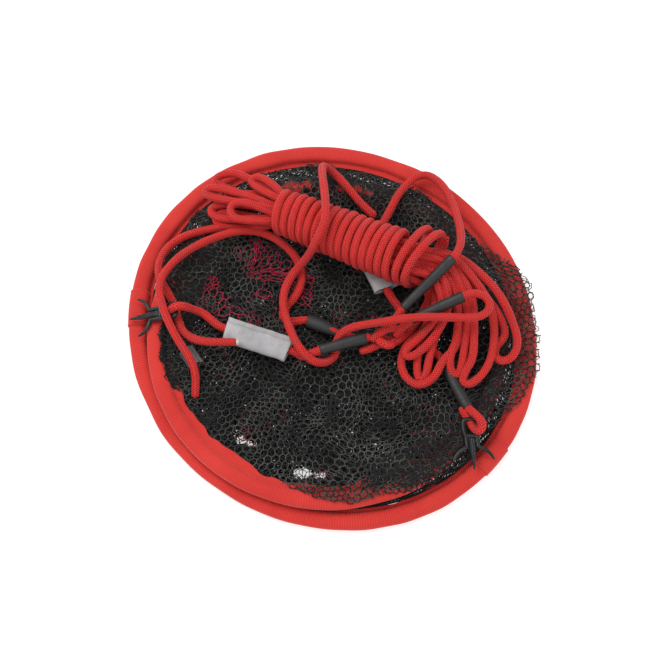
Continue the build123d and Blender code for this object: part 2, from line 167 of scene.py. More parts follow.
RIGHT_BIGHTS = [
    [(71, 30, 37), (80, 12, 34), (74, -2, 31), (61, -15, 27.5), (52, -22, 24), (52, -28, 23), (61, -26, 25),
     (75, -12, 29), (85, 10, 34), (77, 35, 39)],
    [(69, 33, 33), (76, 14, 27), (67, -6, 22), (53, -16, 19), (48, -29, 17), (52, -42, 17), (62, -48, 17.5),
     (73, -42, 21), (78, -30, 23), (88, -21, 23), (92, -3, 25), (86, 18, 30), (77, 38, 34)],
    [(66, 33, 28), (71, 12, 22), (66, -8, 21.5), (61, -22, 21), (60, -35, 17.5), (61.5, -43, 17),
     (67, -40, 18), (69, -26, 23), (78, 2, 25), (80, 28, 28), (74, 39, 29)],
    [(79, 37, 36), (91, 14, 31), (89, -15, 26), (83, -27, 23.5), (84, -37, 19), (89, -40, 18), (92, -34, 20),
     (95, -15, 25), (98, 8, 31), (84, 40, 38)],
    [(83, 43, 34), (101, 18, 32), (101, -12, 28), (100, -29, 24), (94, -38, 21), (92, -45, 18.5),
     (98, -47, 18), (109, -37, 19), (115, -22, 22), (116, 0, 26), (110, 19, 30), (87, 46, 37)],
    [(82, 45, 30), (104, 26, 26), (118, 8, 24), (123, -3, 21), (123.5, -11, 20), (117, -17, 18.5),
     (115.5, -25, 18), (121, -29.5, 18), (129, -26, 19), (133, -16, 21), (130, -3, 24), (121, 18, 28),
     (108, 33, 31), (88, 49, 33)],
]
# From the last pass to the first winding: along, across and above the hank
OUT_OF_CORE = ((59, 13, -3), (64, 18, -7), (63, 24, -7))
TIGHT_WRAPS = 15
LOOSE_WRAPS = 2
WRAP_POINTS = 16
WRAP_SPAN = (38.5, -52.5)
WRAP_HALF = np.array([[18.2, 13.8], [14.6, 13.2]])
WRAP_TILT_DEG = (7.0, 1.0)
WRAP_LEAN = 0.24
LOOSE_PLACES = (57.5, 48.5)
LOOSE_HALF = np.array([22.5, 15.5])
LOOSE_SHIFT = 5.0
LOOSE_TILT_DEG = 17.0

# Heat-shrink tubes: leg, outer radius at both ends, flattening, and the stretch of the leg they cover
SPLICES = {
    "leg_1_knot_splice": ("leg_1", 3.7, 4.5, 0.85, (-8.5, -22.26, 25), (24.5, -13.44, 25)),
    "leg_2_knot_splice": ("leg_2", 3.4, 3.9, 0.92, (50.5, 6.3, 32.9), (85.5, 39, 45.7)),
    "leg_3_knot_splice": ("leg_3", 3.7, 5.1, 0.72, (7, -7.77, 16), (-18, 4.32, 16)),
    "leg_4_knot_splice": ("leg_4", 3.3, 4.1, 0.9, (56, -2.9, 33), (92.3, 9.9, 45.2)),
    "leg_2_clip_splice": ("leg_2", 3.6, 4.0, 0.9, (78.2, -26.6, 16.1), (95.6, -64.0, 17.8)),
}
# Folded tag sleeves: leg, middle, turn about Z, length and half width
TAGS = {
    "leg_1_tag_sleeve": ("leg_1", (-53.75, -11.875, 17.5), -18.79, 48.5, 9.6),
    "leg_2_tag_sleeve": ("leg_2", (34.7, 37.6, 15.8), -64.9, 21.0, 9.0),
    "leg_3_tag_sleeve": ("leg_3", (-101.3, -25.0, 16.0), -58.0, 14.0, 5.6),
}
TAG_HALF_THICK = 3.7
# Wall of the tubes and tags
SOFT_WALL = 0.45

# Clips: middle, the way that each points in plan, and how far its eye end leans up
CLIPS = {"left": ((-143.5, 6.2, 16.6), 184.0, 20.0), "right": ((99.1, -105.0, 15.4), -86.0, 6.0)}
CLIP_REST_X = -14.5
CLIP_MIDDLE_Z = 1.5
CLIP_BACK = 1.6
CLIP_HINGE = -3.3
CLIP_EYE_START = -5.9
CLIP_EYE_LENGTH = 12.1
CLIP_HALF_WIDTH = 3.9
CLIP_EYE_HALF_WIDTH = 5.2
BOW_RADIUS = 15.5
BOW_HALF_ANGLE_DEG = 72.0
SPIKE_LENGTH = 21.8


# ---- meshes

def new_mesh(name, vertices, faces, uv=None):
    """A smooth mesh in metres from millimetre points and equal-sided faces."""
    mesh = bpy.data.meshes.new(name)
    mesh.vertices.add(len(vertices))
    mesh.vertices.foreach_set("co", (np.asarray(vertices) * MM).astype(np.float32).ravel())
    sides = faces.shape[1]
    mesh.loops.add(faces.size)
    mesh.loops.foreach_set("vertex_index", faces.astype(np.int32).ravel())
    mesh.polygons.add(len(faces))
    mesh.polygons.foreach_set("loop_start", np.arange(0, faces.size, sides, dtype=np.int32))
    mesh.update(calc_edges=True)
    mesh.validate()
    mesh.shade_smooth()
    if uv is not None:
        layer = mesh.uv_layers.new(name="UVMap")
        layer.data.foreach_set("uv", uv.astype(np.float32).ravel())
    return mesh


def grid_mesh(name, grid, row_length, wrap_rows=False):
    """A tube's mesh over rows of points. UV: the length along the rows, and the share around."""
    rows, cols = grid.shape[:2]
    row, col = np.meshgrid(np.arange(rows if wrap_rows else rows - 1), np.arange(cols), indexing="ij")
    corner_rows = np.stack([row, row, row + 1, row + 1], -1)
    corner_cols = np.stack([col, col + 1, col + 1, col], -1)
    faces = (corner_rows % rows) * cols + corner_cols % cols
    along = np.append(row_length, 2 * row_length[-1] - row_length[-2])
    uv = np.stack([along[corner_rows] / UV_UNIT, corner_cols / cols], -1)
    return new_mesh(name, grid.reshape(-1, 3), faces.reshape(-1, 4), uv.reshape(-1, 2))


def link(name, data):
    """A new object in the scene."""
    thing = bpy.data.objects.new(name, data)
    bpy.context.scene.collection.objects.link(thing)
    return thing


def add_piece(name, mesh, material, body, slot, *nodes):
    """A mesh as one piece of the object, riding on a CAD body and standing for CAD nodes."""
    piece = link(name, mesh)
    mesh.materials.append(material)
    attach(piece, body)
    if nodes:
        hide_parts(*nodes)
    return piece


def heading(degrees):
    """The level direction at this angle from +X, and the one to its left."""
    turn = math.radians(degrees)
    way = np.array([math.cos(turn), math.sin(turn), 0.0])
    return way, np.array([-way[1], way[0], 0.0])


def circle(turns):
    """Level unit vectors at these angles."""
    return np.stack([np.cos(turns), np.sin(turns), np.zeros_like(turns)], -1)


def squircle(turns, power):
    """Points at these angles of a circle pressed towards a square, by a power below 1."""
    ring = circle(turns)[:, :2]
    return np.sign(ring) * np.abs(ring) ** power


def around(turns, side, lift, flatten=1.0):
    """Vectors at these angles from side towards lift, for every pair, shortened along lift."""
    return np.stack([np.cos(turns), flatten * np.sin(turns)], -1) @ np.stack([side, lift], 1)


def waves(points, scale, seed):
    """Smooth seeded noise of about unit size: a sum of sine waves with lengths around scale."""
    rng = np.random.default_rng(seed)
    dims = points.shape[-1]
    total = np.zeros(points.shape[:-1])
    for _ in range(WAVE_TERMS):
        way = rng.normal(size=dims)
        way *= 2 * math.pi / (scale * rng.uniform(0.6, 1.8) * np.linalg.norm(way))
        total += np.sin(points @ way + rng.uniform(0, 2 * math.pi))
    return total / math.sqrt(WAVE_TERMS / 2)


def smooth(low, high, value):
    """0 below low, 1 above high, and an S between them."""
    t = np.clip((value - low) / (high - low), 0, 1)
    return t * t * (3 - 2 * t)


def band(rise, fall, value):
    """1 between the ranges rise and fall, 0 outside them."""
    return smooth(*rise, value) * (1 - smooth(*fall, value))


# ---- materials

def new_material(name):
    material = bpy.data.materials.new(name)
    material.use_nodes = True
    return material, material.node_tree, material.node_tree.nodes["Principled BSDF"]


def finish(shader, roughness, specular=0.5, sheen=0.0, sheen_roughness=0.5):
    shader.inputs["Roughness"].default_value = roughness
    shader.inputs["Specular IOR Level"].default_value = specular
    shader.inputs["Sheen Weight"].default_value = sheen
    shader.inputs["Sheen Roughness"].default_value = sheen_roughness


def add_node(tree, kind, inputs=None, **settings):
    """A shader node with its settings and inputs, where an input may be another node's socket."""
    node = tree.nodes.new(kind)
    for key, value in settings.items():
        setattr(node, key, value)
    for key, value in (inputs or {}).items():
        if isinstance(value, bpy.types.NodeSocket):
            tree.links.new(value, node.inputs[key])
        else:
            node.inputs[key].default_value = value
    return node


def calc(tree, operation, first, second=0.0):
    return add_node(tree, "ShaderNodeMath", {0: first, 1: second}, operation=operation).outputs[0]


def weighted(tree, *terms):
    """The sum of values, each times its share."""
    total = 0.0
    for value, share in terms:
        total = calc(tree, "ADD", total, calc(tree, "MULTIPLY", value, share))
    return total


def ramp(tree, value, stops):
    """A colour ramp over a value, from (position, grey or colour) stops."""
    node = add_node(tree, "ShaderNodeValToRGB", {0: value})
    elements = node.color_ramp.elements
    for index, (position, colour) in enumerate(stops):
        element = elements[index] if index < 2 else elements.new(position)
        element.position = position
        element.color = (*colour, 1.0)
    return node.outputs[0]


def paint(tree, shader, value, *stops):
    tree.links.new(ramp(tree, value, stops), shader.inputs["Base Color"])


def noise(tree, where, scale, detail=3.0):
    inputs = {"Vector": where, "Scale": scale, "Detail": detail, "Roughness": 0.55}
    return add_node(tree, "ShaderNodeTexNoise", inputs).outputs["Fac"]


def bump(tree, shader, height, distance, strength=1.0, under=None):
    """Bump on a shader, on top of another bump if one is given."""
    inputs = {"Height": height, "Distance": distance, "Strength": strength}
    if under is not None:
        inputs["Normal"] = under
    node = add_node(tree, "ShaderNodeBump", inputs)
    tree.links.new(node.outputs[0], shader.inputs["Normal"])
    return node.outputs[0]


def object_place(tree):
    return add_node(tree, "ShaderNodeTexCoord").outputs["Object"]


def uv_place(tree):
    return add_node(tree, "ShaderNodeUVMap", uv_map="UVMap").outputs[0]


def ribbed_fabric(name, light, dark, rib_pitch):
    """Grosgrain webbing: ribs across the hoop, a fine weave, and soft random differences in tone; the ribs'
    grooves are painted darker as painted shade.
    """
    material, tree, shader = new_material(name)
    along = add_node(tree, "ShaderNodeSeparateXYZ", {0: uv_place(tree)}).outputs[0]
    rib = calc(tree, "SINE", calc(tree, "MULTIPLY", along, 2 * math.pi * UV_UNIT / rib_pitch))
    rib = calc(tree, "ADD", calc(tree, "MULTIPLY", rib, 0.5), 0.5)
    patchy = noise(tree, object_place(tree), 28.0)
    weave = noise(tree, object_place(tree), 1900.0, 1.0)
    # The rib term paints the grooves between ribs darker: painted shade; patchy and weave are the fabric's
    # own tone.
    shade = weighted(tree, (rib, 0.22), (patchy, 0.55), (weave, 0.16))
    paint(tree, shader, shade, (0.22, dark), (0.75, light))
    bump(tree, shader, weave, 0.0002, 0.5, bump(tree, shader, rib, 0.00028, 0.6))
    finish(shader, 0.78, 0.25, 0.25, 0.4)
    return material


def braid(name, light, dark, across, pitch):
    """Diamond braid: strands of both directions take turns on top, in a checker around the cord, with painted
    shade in the dips between them.
    """
    material, tree, shader = new_material(name)
    parts = add_node(tree, "ShaderNodeSeparateXYZ", {0: uv_place(tree)})
    rows = calc(tree, "MULTIPLY", parts.outputs[0], UV_UNIT / pitch)
    columns = calc(tree, "MULTIPLY", parts.outputs[1], float(across))
    right = calc(tree, "ADD", rows, columns)
    left = calc(tree, "ADD", calc(tree, "SUBTRACT", rows, columns), 4.0 * across)
    steps = calc(tree, "ADD", calc(tree, "FLOOR", right), calc(tree, "FLOOR", left))
    bulges = [
        calc(tree, "SINE", calc(tree, "MULTIPLY", calc(tree, "FRACT", strand), math.pi))
        for strand in (right, left)
    ]
    turn = calc(tree, "MODULO", steps, 2.0)
    pick = add_node(tree, "ShaderNodeMix", {0: turn, 2: bulges[0], 3: bulges[1]})
    height = calc(tree, "POWER", calc(tree, "MAXIMUM", pick.outputs[0], 0.0), 0.7)
    patchy = noise(tree, object_place(tree), 45.0)
    fibre = noise(tree, object_place(tree), 2600.0, 1.0)
    # The strands' height paints their tops lighter and the dips between them darker: painted shade; patchy
    # and fibre are the cord's own tone.
    shade = weighted(tree, (height, 0.72), (patchy, 0.22), (fibre, 0.14))
    paint(tree, shader, shade, (0.25, dark), (0.82, light))
    bump(tree, shader, fibre, 0.00015, 0.5, bump(tree, shader, height, 0.0009))
    finish(shader, 0.66, 0.28, 0.08, 0.35)
    return material


def nylon_strand(name, light, dark, roughness):
    """Twisted nylon netting: a fine twist, and strands that are paler in patches; on the upper black layers
    these pale patches are painted highlights.
    """
    material, tree, shader = new_material(name)
    place = object_place(tree)
    twist = noise(tree, place, 2200.0, 1.0)
    shade = weighted(tree, (noise(tree, place, 60.0, 4.0), 0.75), (twist, 0.3))
    paint(tree, shader, shade, (0.42, dark), (0.74, light))
    bump(tree, shader, twist, 0.0002, 0.8)
    finish(shader, roughness)
    return material


def moulded_plastic(name, light, dark, roughness, grain=900.0):
    """Dark moulded plastic or rubber: faint cloudiness, fine grain, and duller scuffs."""
    material, tree, shader = new_material(name)
    place = object_place(tree)
    paint(tree, shader, noise(tree, place, 60.0, 4.0), (0.3, dark), (0.72, light))
    fine = noise(tree, place, grain, 2.0)
    finish(shader, roughness, 0.45)
    dull = ramp(tree, fine, [(0.3, (roughness - 0.08,) * 3), (0.7, (roughness + 0.12,) * 3)])
    tree.links.new(dull, shader.inputs["Roughness"])
    bump(tree, shader, fine, 0.00012, 0.5)
    return material


def tag_fabric(name, light, dark):
    """Coated grey cloth: a plain weave under a dull coating, with soft creases across it, painted darker in
    their hollows as painted shade.
    """
    material, tree, shader = new_material(name)
    place = object_place(tree)
    crease = noise(tree, place, 70.0, 5.0)
    weave = noise(tree, place, 1500.0, 1.0)
    # The crease term paints the hollows of the creases darker: painted shade.
    paint(tree, shader, weighted(tree, (crease, 0.7), (weave, 0.3)), (0.25, dark), (0.7, light))
    bump(tree, shader, weave, 0.0001, 0.5, bump(tree, shader, crease, 0.0012, 0.5))
    finish(shader, 0.55, sheen=0.15)
    return material


def spring_steel(name):
    """Drawn steel wire, finely streaked."""
    material, tree, shader = new_material(name)
    drawn = noise(tree, object_place(tree), 400.0)
    paint(tree, shader, drawn, (0.3, (0.3, 0.3, 0.31)), (0.7, (0.5, 0.5, 0.5)))
    bump(tree, shader, drawn, 0.0001, 0.4)
    shader.inputs["Metallic"].default_value = 1.0
    finish(shader, 0.38)
    return material


# ---- hoops

def large_ring(turns):
    """The large hoop by the direction of its outward normal: centre line, outward and up."""
    half_end = math.atan2(LARGE_SIDE_OFFSET, LARGE_END_OFFSET)
    way = (turns - math.radians(LARGE_AXIS_DEG) + math.pi) % (2 * math.pi) - math.pi
    along, across = heading(LARGE_AXIS_DEG)
    out = circle(turns)
    at_end = (np.abs(way) < half_end) | (np.abs(way) > math.pi - half_end)
    end_offset = np.where(np.abs(way) < half_end, LARGE_END_OFFSET, -LARGE_END_OFFSET)
    side_offset = np.where(way > 0, -LARGE_SIDE_OFFSET, LARGE_SIDE_OFFSET)
    centre = np.where(at_end[:, None], end_offset[:, None] * along, side_offset[:, None] * across)
    radius = np.where(at_end, LARGE_END_RADIUS, LARGE_SIDE_RADIUS)
    line = centre + radius[:, None] * out + SLEEVE_HALF_HEIGHT * UP
    return line, out, np.broadcast_to(UP, line.shape)


def small_ring(turns):
    """The small hoop, leaning: centre line, outward and up."""
    side, _ = heading(SMALL_HIGH_SIDE_DEG)
    lean = math.radians(SMALL_LEAN_DEG)
    flat = circle(turns)
    share = (flat @ side)[:, None]
    out = flat - share * side + share * (side * math.cos(lean) + UP * math.sin(lean))
    up = UP * math.cos(lean) - side * math.sin(lean)
    line = np.append(SMALL_CENTRE, SMALL_PLANE_Z) + SMALL_RADIUS * out
    return line, out, np.broadcast_to(up, line.shape)


def tube_outline(half_width, half_height, start_deg, end_deg, count):
    """Points of a rounded, flattened tube section, clockwise, by angle from the outer side."""
    turns = np.radians(np.linspace(start_deg, end_deg, count))
    return squircle(turns, 2 / SLEEVE_ROUND) * np.array([half_width, half_height])


def ring_lengths(line):
    """Length along a line at each of its points."""
    gaps = np.linalg.norm(np.diff(line, axis=0), axis=1)
    return np.append(0.0, np.cumsum(gaps))


def make_sleeve(side, ring, flap, seed, material):
    """A fabric tube around the hoop's wire, with its sewn seam flap on the inner side."""
    turns = np.linspace(0, 2 * math.pi, SLEEVE_ROWS, endpoint=False)
    line, out, up = ring(turns)
    place = 100 * circle(turns)[:, :2]
    wavy = waves(place, 26, seed)
    width = flap * (1 + 0.16 * waves(place, 40, seed + 1) + 0.07 * waves(place, 11, seed + 2))
    fuller = np.stack([1 + 0.035 * wavy, np.ones(len(turns))], -1)
    tube = tube_outline(SLEEVE_HALF_WIDTH, SLEEVE_HALF_HEIGHT, 193.4, -143.1, 26) * fuller[:, None]
    share = np.linspace(0.06, 0.96, 8)
    inwards = width[:, None] * share
    stitch = 0.35 * np.exp(-(((inwards - 2.2) / 0.5) ** 2))
    thick = FLAP_HALF_THICK * (1 - 0.35 * share) - stitch
    middle = 0.9 * np.clip(wavy, -0.3, 1.6)[:, None] * share ** 1.5 - FLAP_DROP
    across = -(SLEEVE_HALF_WIDTH - 0.5) - inwards
    below = np.stack([across, middle - thick], -1)
    above = np.stack([across, middle + thick], -1)[:, ::-1]
    section = np.concatenate([tube, below, above], axis=1)
    grid = line[:, None] + section[..., :1] * out[:, None] + section[..., 1:] * up[:, None]
    grid[..., 2] = np.maximum(grid[..., 2], SLEEVE_CLEARANCE)
    mesh = grid_mesh(f"{side}_sleeve", grid, ring_lengths(line), wrap_rows=True)
    add_piece(f"{side}_sleeve", mesh, material, f"{side}_hoop", "hoop_sleeve", f"{side}_hoop_sleeve")


def make_patch(name, middle_deg, span_deg, material):
    """A band of the same fabric wrapped over the large hoop's sleeve, turned in at its edges."""
    turns = np.radians(np.linspace(middle_deg - span_deg / 2, middle_deg + span_deg / 2, 40))
    line, out, up = large_ring(turns)
    section = np.concatenate([
        tube_outline(SLEEVE_HALF_WIDTH + more, SLEEVE_HALF_HEIGHT + more, start_deg, end_deg, 20)
        for more, start_deg, end_deg in ((PATCH_OUTSIDE, 184, -20), (PATCH_INSIDE, -20, 184))
    ])
    swell = np.ones((len(turns), 1, 1))
    swell[[0, -1]] = 0.93
    swell[[2, -3]] = 1.04
    grid = line[:, None] + swell * (section[:, :1] * out[:, None] + section[:, 1:] * up[:, None])
    grid[..., 2] = np.maximum(grid[..., 2], CLEARANCE)
    mesh = grid_mesh(name, grid, ring_lengths(line))
    add_piece(name, mesh, material, "large_hoop", "patch", "large_hoop_patches")


# ---- net

def hexagon_strands(number, top, closed=False):
    """Pairs of corner numbers: the zigzags along the rows, then the uprights between them."""
    level = np.stack([number, np.roll(number, -1, axis=1)], -1)
    if not closed:
        level = level[:, :-1]
    linked = top[:-1]
    upright = np.stack([number[:-1][linked], number[1:][linked]], -1)
    return np.concatenate([level.reshape(-1, 2), upright])


def honeycomb(cell, turn_deg, squash):
    """Corners and strands of a flat net of hexagons, cell wide across the flats, squashed one way."""
    side = cell / math.sqrt(3)
    columns = int(2 * NET_REACH / (cell / 2)) + 2
    rows = int(2 * NET_REACH / (1.5 * side * squash)) + 2
    row, col = np.meshgrid(np.arange(rows), np.arange(columns), indexing="ij")
    top = (row + col) % 2 == 0
    across = (col - columns / 2) * cell / 2
    along = squash * ((row - rows / 2) * 1.5 * side + np.where(top, side / 2, 0.0))
    way, left = heading(turn_deg)
    corners = across[..., None] * way[:2] + along[..., None] * left[:2]
    return corners.reshape(-1, 2), hexagon_strands(row * columns + col, top)


def prism_mesh(name, rings):
    """Open prisms from their rings of points: strand, ring along it, point around it."""
    count, levels, sides = rings.shape[:3]
    base = (np.arange(count) * levels * sides)[:, None, None]
    ring = base + (np.arange(levels - 1) * sides)[:, None]
    spoke = np.arange(sides)
    after = (spoke + 1) % sides
    faces = np.stack([ring + spoke, ring + after, ring + sides + after, ring + sides + spoke], -1)
    return new_mesh(name, rings.reshape(-1, 3), faces.reshape(-1, 4))


def strand_mesh(name, starts, middles, ends, radius):
    """Thin prisms from every start over its middle to its end."""
    way = ends - starts
    way /= np.maximum(np.linalg.norm(way, axis=1), 1e-6)[:, None]
    helper = np.where(np.abs(way[:, 2:]) > 0.9, np.array([1.0, 0, 0]), UP)
    first = np.cross(way, helper)
    first /= np.linalg.norm(first, axis=1)[:, None]
    turns = np.arange(3) * 2 * math.pi / 3 + math.pi / 2
    spokes = around(turns, first, np.cross(way, first))
    lap = way * radius * STRAND_LAP
    rings = np.stack([
        middle[:, None] + share * radius * spokes
        for middle, share in ((starts - lap, 1.15), (middles, 0.9), (ends + lap, 1.15))
    ], 1)
    rings[..., 2] = np.maximum(rings[..., 2], CLEARANCE)
    return prism_mesh(name, rings)


def small_plane(points):
    """Height of the small hoop's middle plane over points on the ground."""
    share = (points - SMALL_CENTRE) @ heading(SMALL_HIGH_SIDE_DEG)[0][:2]
    return SMALL_PLANE_Z + math.tan(math.radians(SMALL_LEAN_DEG)) * share


def large_radius(way):
    """Distance of the large hoop's centre line from the origin, by direction."""
    line, _, _ = large_ring(np.linspace(0, 2 * math.pi, 721))
    angle = np.unwrap(np.arctan2(line[:, 1], line[:, 0]))
    radius = np.hypot(line[:, 0], line[:, 1])
    return np.interp(angle[0] + (way - angle[0]) % (2 * math.pi), angle, radius)


def tube_top(reach):
    """Height of the sleeve's top over its middle, by the distance from the hoop's centre line."""
    share = np.clip(np.abs(reach) / COVERED_HALF_WIDTH, 0, 1)
    return (SLEEVE_HALF_HEIGHT + 1.0) * (1 - share ** SLEEVE_ROUND) ** (1 / SLEEVE_ROUND)


def turn_of(points):
    """Direction of points in degrees, counted so that it jumps at the front left."""
    way = np.degrees(np.arctan2(points[:, 1], points[:, 0]))
    return (way + 120) % 360 - 120


def cover(points, start, end):
    """1 for points in directions from start on, fading out over end, in degrees."""
    return band((start - 8, start + 6), end, turn_of(points))


def net_edge(way, wide, start):
    """Outer edge of the slack net by direction: over the hoops at the back and right, else inside."""
    points = 100 * circle(way)[:, :2]
    bulge = band((-34, -14), (14, 38), turn_of(points))
    outside = large_radius(way) - 11.5 + 19.5 * bulge * (wide > 1) + 1.3 * waves(points, 22, 5)
    along = points @ SMALL_CENTRE / 100
    inner_ring = SMALL_RADIUS - SLEEVE_HALF_WIDTH - 4.0
    inside = along + np.sqrt(along ** 2 - SMALL_CENTRE @ SMALL_CENTRE + inner_ring ** 2)
    over_hoop = cover(points, start, OVER_HOOP_END)
    over_flap = cover(points, start, OVER_FLAP_END) - over_hoop
    edge = inside + (outside - inside) * over_hoop * min(wide, 1.0)
    return edge + (6.0 + waves(points, 18, 6)) * over_flap * (wide > 0)


def drape(flat, level, lumps, warp, seed, cap, wide, start):
    """Lay flat net points crumpled over the floor and, if wide, over the hoops.

    small_gap and large_gap are the distances outside the hoops' centre lines. Away from the slack's
    side the net tucks under the small hoop's seam flap, and there it climbs over hoop and flap.
    """
    way = np.arctan2(flat[:, 1], flat[:, 0])
    share = np.hypot(flat[:, 0], flat[:, 1]) / NET_REACH
    place = (net_edge(way, wide, start) * share)[:, None] * circle(way)[:, :2]
    shift = np.stack([waves(place, 52, seed), waves(place, 52, seed + 1)], -1)
    shift += 0.3 * np.stack([waves(place, 24, seed + 2), waves(place, 24, seed + 3)], -1)
    place = place + (1 - share ** 6)[:, None] * shift * warp
    height = level + lumps * (0.65 * waves(place, 46, seed + 4) + 0.35 * waves(place, 17, seed + 5))
    height = np.minimum(height, cap)
    small = small_plane(place)
    small_gap = np.hypot(*(place - SMALL_CENTRE).T) - SMALL_RADIUS
    large_gap = np.hypot(*place.T) - large_radius(np.arctan2(place[:, 1], place[:, 0]))
    tucked = height + (np.minimum(small - 3.2, height) - height) * smooth(-29, -15, small_gap)
    over_small = np.where(np.abs(small_gap) < COVERED_HALF_WIDTH, small + tube_top(small_gap), 0)
    on_flap = small + 0.2 + 0.8 * smooth(-21, -8, small_gap)
    over_flap = np.where(np.abs(small_gap + 11) < 11, on_flap, 0)
    on_large = SLEEVE_HALF_HEIGHT + tube_top(large_gap)
    over_large = np.where(np.abs(large_gap) < COVERED_HALF_WIDTH, on_large, 0)
    climb = height + (np.maximum(small, height) - height) * smooth(-34, -21, small_gap)
    draped = climb + (4.6 + 0.4 * level - climb) * smooth(-6, 10, small_gap)
    support = np.maximum(np.maximum(over_small, over_flap), over_large)
    draped = np.maximum(draped, support + 0.05 * level)
    covered = cover(place, start, OVER_FLAP_END) * (wide > 0)
    height = tucked + (draped - tucked) * covered
    return np.column_stack([place, np.maximum(height, 0.4)])


def make_net(
    name, material, slot, cell, radius, turn_deg, level, lumps, warp, seed,
    cap, keep, wide=0.0, squash=1.0, start=-104,
):
    """One crumpled layer of hexagonal net, as real strands.

    It lies around level, lumps up and down but never over cap, shifted sideways by warp, and only
    where keep says. If wide, it reaches over the hoops from the direction start.
    """
    flat, strands = honeycomb(cell, turn_deg, squash)
    inside = np.hypot(flat[:, 0], flat[:, 1]) < NET_REACH
    strands = strands[inside[strands].all(1)]
    corners = drape(flat, level, lumps, warp, seed, cap, wide, start)
    if keep is not None:
        strands = strands[keep(corners[:, :2])[strands].all(1)]
    shake = np.random.default_rng(seed + 9).normal(size=corners.shape) * cell * NET_JITTER
    corners = corners + shake * np.array([1, 1, 0.5])
    starts, ends = corners[strands[:, 0]], corners[strands[:, 1]]
    bow = np.random.default_rng(seed + 10).normal(size=starts.shape) * cell * NET_JITTER
    mesh = strand_mesh(name, starts, (starts + ends) / 2 + bow, ends, radius)
    nodes = [NET_NODES[name]] if name in NET_NODES else []
    piece = add_piece(name, mesh, material, "small_hoop", slot, *nodes)


# ---- cords

def nurbs_line(points):
    """The points of the NURBS spline that has these control points, in millimetres."""
    curve = bpy.data.curves.new("route", "CURVE")
    curve.dimensions = "3D"
    curve.resolution_u = 10
    spline = curve.splines.new("NURBS")
    spline.points.add(len(points) - 1)
    for knot, place in zip(spline.points, points):
        knot.co = (place[0], place[1], place[2], 1.0)
    spline.order_u = 3
    spline.use_endpoint_u = True
    holder = bpy.data.objects.new("route", curve)
    mesh = bpy.data.meshes.new_from_object(holder)
    line = np.array([vertex.co for vertex in mesh.vertices])
    bpy.data.objects.remove(holder)
    bpy.data.meshes.remove(mesh)
    bpy.data.curves.remove(curve)
    return line


def even_line(line, step):
    """The same line with evenly spaced points."""
    lengths = ring_lengths(line)
    count = max(int(lengths[-1] / step), 3)
    places = np.linspace(0, lengths[-1], count)
    return np.stack([np.interp(places, lengths, line[:, axis]) for axis in range(3)], -1)


def frames(line):
    """Tangent and two cross directions along a line, carried along without twist."""
    way = np.gradient(line, axis=0)
    way /= np.linalg.norm(way, axis=1)[:, None]
    side = np.zeros_like(line)
    start = np.cross(way[0], (0, 0, 1.0))
    if np.linalg.norm(start) < 0.1:
        start = np.cross(way[0], (0, 1.0, 0))
    current = start / np.linalg.norm(start)
    for index, tangent in enumerate(way):
        current = current - tangent * (current @ tangent)
        current = current / np.linalg.norm(current)
        side[index] = current
    return way, side, np.cross(way, side)


def tube_spokes(line, sides, flatten=1.0, level=False):
    """Unit vectors around a tube along a line, its width kept level if level."""
    way, side, lift = frames(line)
    if level:
        side = np.cross(way, UP)
        side /= np.linalg.norm(side, axis=1)[:, None]
        lift = np.cross(way, side)
    return around(np.arange(sides) * 2 * math.pi / sides, side, lift, flatten)


def tube_mesh(name, line, radius, sides=12, flatten=1.0, level=False):
    """A tube of varying radius along a line."""
    grid = line[:, None] + radius[:, None, None] * tube_spokes(line, sides, flatten, level)
    return grid_mesh(name, grid, ring_lengths(line))


def round_ends(count, steps):
    """Share of the full radius at each point, closing over this many steps at both ends."""
    ends = np.minimum(np.arange(count), np.arange(count)[::-1]) / steps
    return np.sqrt(np.clip(1 - (1 - np.minimum(ends, 1)) ** 2, 0.0004, 1))


def cord_radii(line, radius, seed):
    """A cord's radius along its line: slightly uneven, closing at both ends."""
    return radius * (1 + 0.02 * waves(line, 14, seed)) * round_ends(len(line), 2.0)


def make_cord(name, line, material, nodes, seed):
    """A braided cord along its line."""
    mesh = tube_mesh(name, line, cord_radii(line, CORD_RADIUS, seed))
    piece = add_piece(name, mesh, material, "small_hoop", "braid", *nodes)


def hank_point(along, across, height):
    """A point by its place along the hank, across it and above its axis."""
    way, side = heading(HANK_TURN_DEG)
    return tuple(HANK_CENTRE + along * way + across * side + height * UP)


def core_pass(slot, leftwards):
    """The line's run through the hank's core in one slot."""
    across, height = CORE_SLOTS[slot]
    stations = np.linspace(HANK_CORE_END, -HANK_CORE_END, 6)
    shares = np.linspace(1, CORE_LEFT_SHARE, 6)
    route = [hank_point(along, across * share, height) for along, share in zip(stations, shares)]
    return route if leftwards else route[::-1]


def hank_turns():
    """The windings around the core: two loose ones at the right, then tight ones to the left end."""
    route = []
    for step in range((LOOSE_WRAPS + TIGHT_WRAPS) * WRAP_POINTS):
        turn = step / WRAP_POINTS
        angle = -2 * math.pi * turn
        share = max(turn - LOOSE_WRAPS, 0) / TIGHT_WRAPS
        loose = 1 - smooth(LOOSE_WRAPS, LOOSE_WRAPS + 0.5, turn)
        stops = [0.75, 1.75, LOOSE_WRAPS + 0.5, LOOSE_WRAPS + TIGHT_WRAPS]
        place = np.interp(turn, stops, [*LOOSE_PLACES, *WRAP_SPAN])
        tight = WRAP_HALF[0] + (WRAP_HALF[1] - WRAP_HALF[0]) * share
        tight = tight * (1 + 0.02 * math.sin(5.1 * turn) + 0.012 * math.sin(2.3 * turn))
        half = tight + (LOOSE_HALF - tight) * loose
        tilt = np.interp(share, [0, 1], WRAP_TILT_DEG) + 1.2 * math.sin(1.7 * turn)
        tilt += (LOOSE_TILT_DEG - tilt) * loose
        across, height = half[0] * math.cos(angle), half[1] * math.sin(angle)
        along = place + math.tan(math.radians(tilt)) * across - WRAP_LEAN * height
        route.append(hank_point(along, across + LOOSE_SHIFT * loose, height))
    return route


